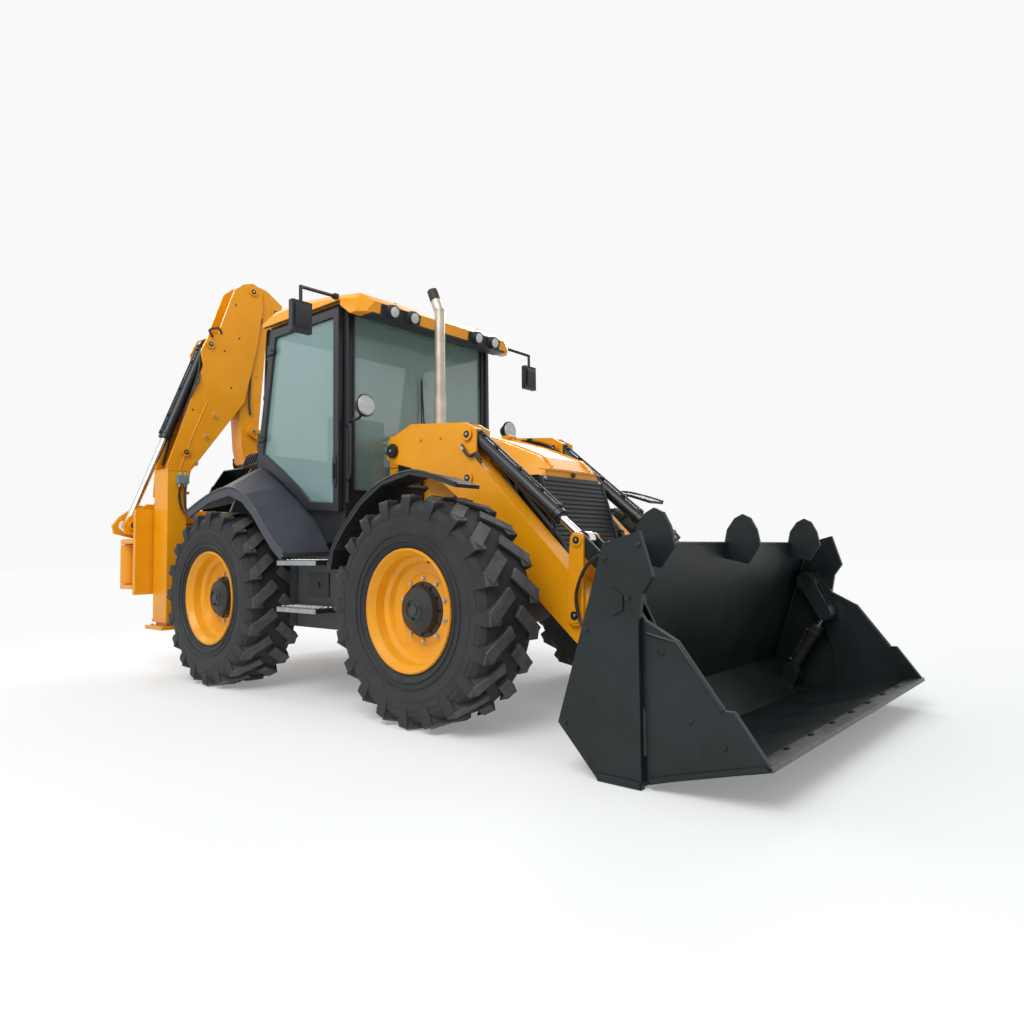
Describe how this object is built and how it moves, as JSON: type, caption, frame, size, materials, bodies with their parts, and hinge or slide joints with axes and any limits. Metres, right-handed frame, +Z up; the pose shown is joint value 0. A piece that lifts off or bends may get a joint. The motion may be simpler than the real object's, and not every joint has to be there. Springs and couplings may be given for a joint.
{
  "type": "backhoe loader",
  "caption": "Backhoe loader on equal-sized wheels, with a clam shovel at the front and a backhoe folded across the rear on a sideshift carriage.",
  "frame": {"origin": "on the ground, under the middle of the whole machine's outline with the shovel down and the backhoe folded", "axes": "+X forward to the shovel, +Y to the machine's left, +Z up"},
  "size_m": [5.865, 2.545, 3.63],
  "materials": {
    "paint": "satin",
    "paint_dark": "satin",
    "paint_shovel": "worn satin",
    "paint_cab": "satin",
    "tyre": "matt",
    "glass": "tinted",
    "rod": "polished",
    "exhaust": "dull",
    "plastic_grey": "matt",
    "plastic_black": "matt",
    "cast": "painted",
    "seat": "woven",
    "lamp": "clear"
  },
  "bodies": {
    "frame": {"chassis_frame": "paint", "engine_block": "cast", "axles": "cast", "rear_frame": "paint", "cab_frame": "paint_cab", "cab_glass": "glass", "cab_roof": "paint", "seat": "seat", "steering_console": "plastic_black", "fenders": "plastic_grey", "side_tanks": "paint_dark", "lamps": "lamp", "mirrors": "plastic_black", "exhaust_stack": "exhaust", "cowl": "paint_dark"},
    "hood": {"hood_top": "paint", "hood_sides": "paint_dark"},
    "door_left": {"door_left": "paint_cab", "door_glass_left": "glass"},
    "door_right": {"door_right": "paint_cab", "door_glass_right": "glass"},
    "knuckle_front_left": {"knuckle_front_left": "cast"},
    "wheel_front_left": {"tyre_front_left": "tyre", "rim_front_left": "paint"},
    "knuckle_front_right": {"knuckle_front_right": "cast"},
    "wheel_front_right": {"tyre_front_right": "tyre", "rim_front_right": "paint"},
    "knuckle_rear_left": {"knuckle_rear_left": "cast"},
    "wheel_rear_left": {"tyre_rear_left": "tyre", "rim_rear_left": "paint"},
    "knuckle_rear_right": {"knuckle_rear_right": "cast"},
    "wheel_rear_right": {"tyre_rear_right": "tyre", "rim_rear_right": "paint"},
    "loader_arms": {"loader_arms": "paint"},
    "lift_barrels": {"lift_barrels": "paint"},
    "lift_rods": {"lift_rods": "rod"},
    "tipping_levers": {"tipping_levers": "paint"},
    "tipping_links": {"tipping_links": "paint"},
    "tilt_barrels": {"tilt_barrels": "paint"},
    "tilt_rods": {"tilt_rods": "rod"},
    "shovel_back": {"shovel_back": "paint_shovel"},
    "shovel_clam": {"shovel_clam": "paint_shovel"},
    "clam_barrels": {"clam_barrels": "paint"},
    "clam_rods": {"clam_rods": "rod"},
    "sideshift_carriage": {"sideshift_carriage": "paint"},
    "kingpost": {"kingpost": "paint"},
    "boom": {"boom": "paint"},
    "boom_ram_barrel": {"boom_ram_barrel": "paint"},
    "boom_ram_rod": {"boom_ram_rod": "rod"},
    "dipper": {"dipper": "paint"},
    "dipper_ram_barrel": {"dipper_ram_barrel": "paint"},
    "dipper_ram_rod": {"dipper_ram_rod": "rod"},
    "bucket_lever": {"bucket_lever": "paint"},
    "bucket_link": {"bucket_link": "paint"},
    "bucket_ram_barrel": {"bucket_ram_barrel": "paint"},
    "bucket_ram_rod": {"bucket_ram_rod": "rod"},
    "dig_bucket": {"dig_bucket": "paint"},
    "stabiliser_leg_left": {"stabiliser_leg_left": "paint"},
    "stabiliser_leg_right": {"stabiliser_leg_right": "paint"}
  },
  "joints": [
    {"name": "steer_front_left", "type": "hinge", "parent": "frame", "child": "knuckle_front_left", "pos_m": [0.848, 0.815, 0.655], "axis": [0, 0, 1], "range_deg": [-20, 20]},
    {"name": "steer_front_right", "type": "hinge", "parent": "frame", "child": "knuckle_front_right", "pos_m": [0.848, -0.815, 0.655], "axis": [0, 0, 1], "range_deg": [-20.5, 20.5]},
    {"name": "steer_rear_left", "type": "hinge", "parent": "frame", "child": "knuckle_rear_left", "pos_m": [-1.372, 0.815, 0.655], "axis": [0, 0, 1], "range_deg": [-20, 20]},
    {"name": "steer_rear_right", "type": "hinge", "parent": "frame", "child": "knuckle_rear_right", "pos_m": [-1.372, -0.815, 0.655], "axis": [0, 0, 1], "range_deg": [-20.5, 20.5]},
    {"name": "wheel_spin_front_left", "type": "hinge", "parent": "knuckle_front_left", "child": "wheel_front_left", "pos_m": [0.848, 0.955, 0.655], "axis": [0, 1, 0], "continuous": true},
    {"name": "wheel_spin_front_right", "type": "hinge", "parent": "knuckle_front_right", "child": "wheel_front_right", "pos_m": [0.848, -0.955, 0.655], "axis": [0, 1, 0], "continuous": true},
    {"name": "wheel_spin_rear_left", "type": "hinge", "parent": "knuckle_rear_left", "child": "wheel_rear_left", "pos_m": [-1.372, 0.955, 0.655], "axis": [0, 1, 0], "continuous": true},
    {"name": "wheel_spin_rear_right", "type": "hinge", "parent": "knuckle_rear_right", "child": "wheel_rear_right", "pos_m": [-1.372, -0.955, 0.655], "axis": [0, 1, 0], "continuous": true},
    {"name": "loader_lift", "type": "hinge", "parent": "frame", "child": "loader_arms", "pos_m": [0.018, 0, 1.69], "axis": [0, -1, 0], "range_deg": [-2, 84]},
    {"name": "lift_barrels_swing", "type": "hinge", "parent": "frame", "child": "lift_barrels", "pos_m": [0.038, 0, 0.75], "axis": [0, -1, 0], "range_deg": [-1.31, 34.63]},
    {"name": "lift_rods_slide", "type": "slide", "parent": "lift_barrels", "child": "lift_rods", "axis": [0.7071, 0, 0.7071], "range_m": [-0.02235, 0.73355]},
    {"name": "shovel_tilt", "type": "hinge", "parent": "loader_arms", "child": "shovel_back", "pos_m": [1.898, 0, 0.33], "axis": [0, 1, 0], "range_deg": [-20, 85]},
    {"name": "tipping_lever_swing", "type": "hinge", "parent": "loader_arms", "child": "tipping_levers", "pos_m": [1.568, 0, 0.62], "axis": [0, 1, 0], "range_deg": [-20.5, 85.5]},
    {"name": "tipping_link_swing", "type": "hinge", "parent": "tipping_levers", "child": "tipping_links", "pos_m": [1.588, 0, 1.04], "axis": [0, 1, 0], "range_deg": [-85.5, 20.5]},
    {"name": "tilt_barrels_swing", "type": "hinge", "parent": "loader_arms", "child": "tilt_barrels", "pos_m": [0.738, 0, 1.73], "axis": [0, 1, 0], "range_deg": [-1.66, 0.77]},
    {"name": "tilt_rods_slide", "type": "slide", "parent": "tilt_barrels", "child": "tilt_rods", "axis": [0.7764, 0, -0.6302], "range_m": [-0.12777, 0.52678]},
    {"name": "clam_open", "type": "hinge", "parent": "shovel_back", "child": "shovel_clam", "pos_m": [2.278, 0, 0.76], "axis": [0, -1, 0], "range_deg": [0, 65]},
    {"name": "clam_barrels_swing", "type": "hinge", "parent": "shovel_back", "child": "clam_barrels", "pos_m": [2.15, 0, 0.162], "axis": [0, -1, 0], "range_deg": [-1.8, 0.5]},
    {"name": "clam_rods_slide", "type": "slide", "parent": "clam_barrels", "child": "clam_rods", "axis": [0.5132, 0, 0.8583], "range_m": [-0.005, 0.25056]},
    {"name": "hood_open", "type": "hinge", "parent": "frame", "child": "hood", "pos_m": [0.476, 0, 1.82], "axis": [0, -1, 0], "range_deg": [0, 45]},
    {"name": "door_left_open", "type": "hinge", "parent": "frame", "child": "door_left", "pos_m": [-1.238, 0.765, 2.225], "axis": [0.1903, 0, 0.9817], "range_deg": [0, 75]},
    {"name": "door_right_open", "type": "hinge", "parent": "frame", "child": "door_right", "pos_m": [-1.238, -0.765, 2.225], "axis": [-0.1903, 0, -0.9817], "range_deg": [0, 75]},
    {"name": "sideshift", "type": "slide", "parent": "frame", "child": "sideshift_carriage", "axis": [0, 1, 0], "range_m": [0, 1.71]},
    {"name": "kingpost_swing", "type": "hinge", "parent": "sideshift_carriage", "child": "kingpost", "pos_m": [-2.662, -1.185, 0.95], "axis": [0, 0, 1], "range_deg": [0, 180]},
    {"name": "boom_lower", "type": "hinge", "parent": "kingpost", "child": "boom", "pos_m": [-2.662, -1.005, 1.02], "axis": [-1, 0, 0], "range_deg": [0, 100]},
    {"name": "boom_ram_barrel_swing", "type": "hinge", "parent": "boom", "child": "boom_ram_barrel", "pos_m": [-2.662, -0.54, 2.935], "axis": [1, 0, 0], "range_deg": [-0.5, 3.99]},
    {"name": "boom_ram_rod_slide", "type": "slide", "parent": "boom_ram_barrel", "child": "boom_ram_rod", "axis": [0, -0.369, -0.9294], "range_m": [-0.005, 0.45101]},
    {"name": "dipper_unfold", "type": "hinge", "parent": "boom", "child": "dipper", "pos_m": [-2.662, -0.11, 3.54], "axis": [1, 0, 0], "range_deg": [0, 110]},
    {"name": "dipper_ram_barrel_swing", "type": "hinge", "parent": "boom", "child": "dipper_ram_barrel", "pos_m": [-2.662, -0.76, 1.905], "axis": [1, 0, 0], "range_deg": [-6.43, 0.5]},
    {"name": "dipper_ram_rod_slide", "type": "slide", "parent": "dipper_ram_barrel", "child": "dipper_ram_rod", "axis": [0, 0.4166, 0.9091], "range_m": [-0.005, 0.40499]},
    {"name": "bucket_turn", "type": "hinge", "parent": "dipper", "child": "dig_bucket", "pos_m": [-2.662, -0.12, 1.89], "axis": [1, 0, 0], "range_deg": [0, 90]},
    {"name": "bucket_lever_swing", "type": "hinge", "parent": "dipper", "child": "bucket_lever", "pos_m": [-2.662, -0.1, 2.17], "axis": [1, 0, 0], "range_deg": [-0.5, 90.5]},
    {"name": "bucket_link_swing", "type": "hinge", "parent": "bucket_lever", "child": "bucket_link", "pos_m": [-2.662, 0.11651, 2.045], "axis": [1, 0, 0], "range_deg": [-90.5, 0.5]},
    {"name": "bucket_ram_barrel_swing", "type": "hinge", "parent": "dipper", "child": "bucket_ram_barrel", "pos_m": [-2.662, 0.15, 3.4], "axis": [1, 0, 0], "range_deg": [-3.22, 0.5]},
    {"name": "bucket_ram_rod_slide", "type": "slide", "parent": "bucket_ram_barrel", "child": "bucket_ram_rod", "axis": [0, -0.0247, -0.9997], "range_m": [-0.35274, 0.005]},
    {"name": "stabiliser_left_lower", "type": "slide", "parent": "frame", "child": "stabiliser_leg_left", "axis": [0, 0, -1], "range_m": [0, 0.5]},
    {"name": "stabiliser_right_lower", "type": "slide", "parent": "frame", "child": "stabiliser_leg_right", "axis": [0, 0, -1], "range_m": [0, 0.5]}
  ],
  "couplings": [
    {"joint": "steer_front_right", "follows": "steer_front_left", "ratio": 1},
    {"joint": "steer_rear_right", "follows": "steer_rear_left", "ratio": 1},
    {"joint": "lift_barrels_swing", "follows": "loader_lift", "ratio": 0.40636},
    {"joint": "lift_rods_slide", "follows": "loader_lift", "m_per_rad": 0.49694},
    {"joint": "tipping_lever_swing", "follows": "shovel_tilt", "ratio": 1},
    {"joint": "tipping_link_swing", "follows": "shovel_tilt", "ratio": -1},
    {"joint": "tilt_barrels_swing", "follows": "shovel_tilt", "ratio": -0.013691},
    {"joint": "tilt_rods_slide", "follows": "shovel_tilt", "m_per_rad": 0.35172},
    {"joint": "clam_barrels_swing", "follows": "clam_open", "ratio": -0.020021},
    {"joint": "clam_rods_slide", "follows": "clam_open", "m_per_rad": 0.21645},
    {"joint": "boom_ram_barrel_swing", "follows": "boom_lower", "ratio": 0.034909},
    {"joint": "boom_ram_rod_slide", "follows": "boom_lower", "m_per_rad": 0.25554},
    {"joint": "dipper_ram_barrel_swing", "follows": "dipper_unfold", "ratio": -0.053868},
    {"joint": "dipper_ram_rod_slide", "follows": "dipper_unfold", "m_per_rad": 0.20835},
    {"joint": "bucket_lever_swing", "follows": "bucket_turn", "ratio": 1},
    {"joint": "bucket_link_swing", "follows": "bucket_turn", "ratio": -1},
    {"joint": "bucket_ram_barrel_swing", "follows": "bucket_turn", "ratio": -0.030195},
    {"joint": "bucket_ram_rod_slide", "follows": "bucket_turn", "m_per_rad": -0.22137}
  ]
}
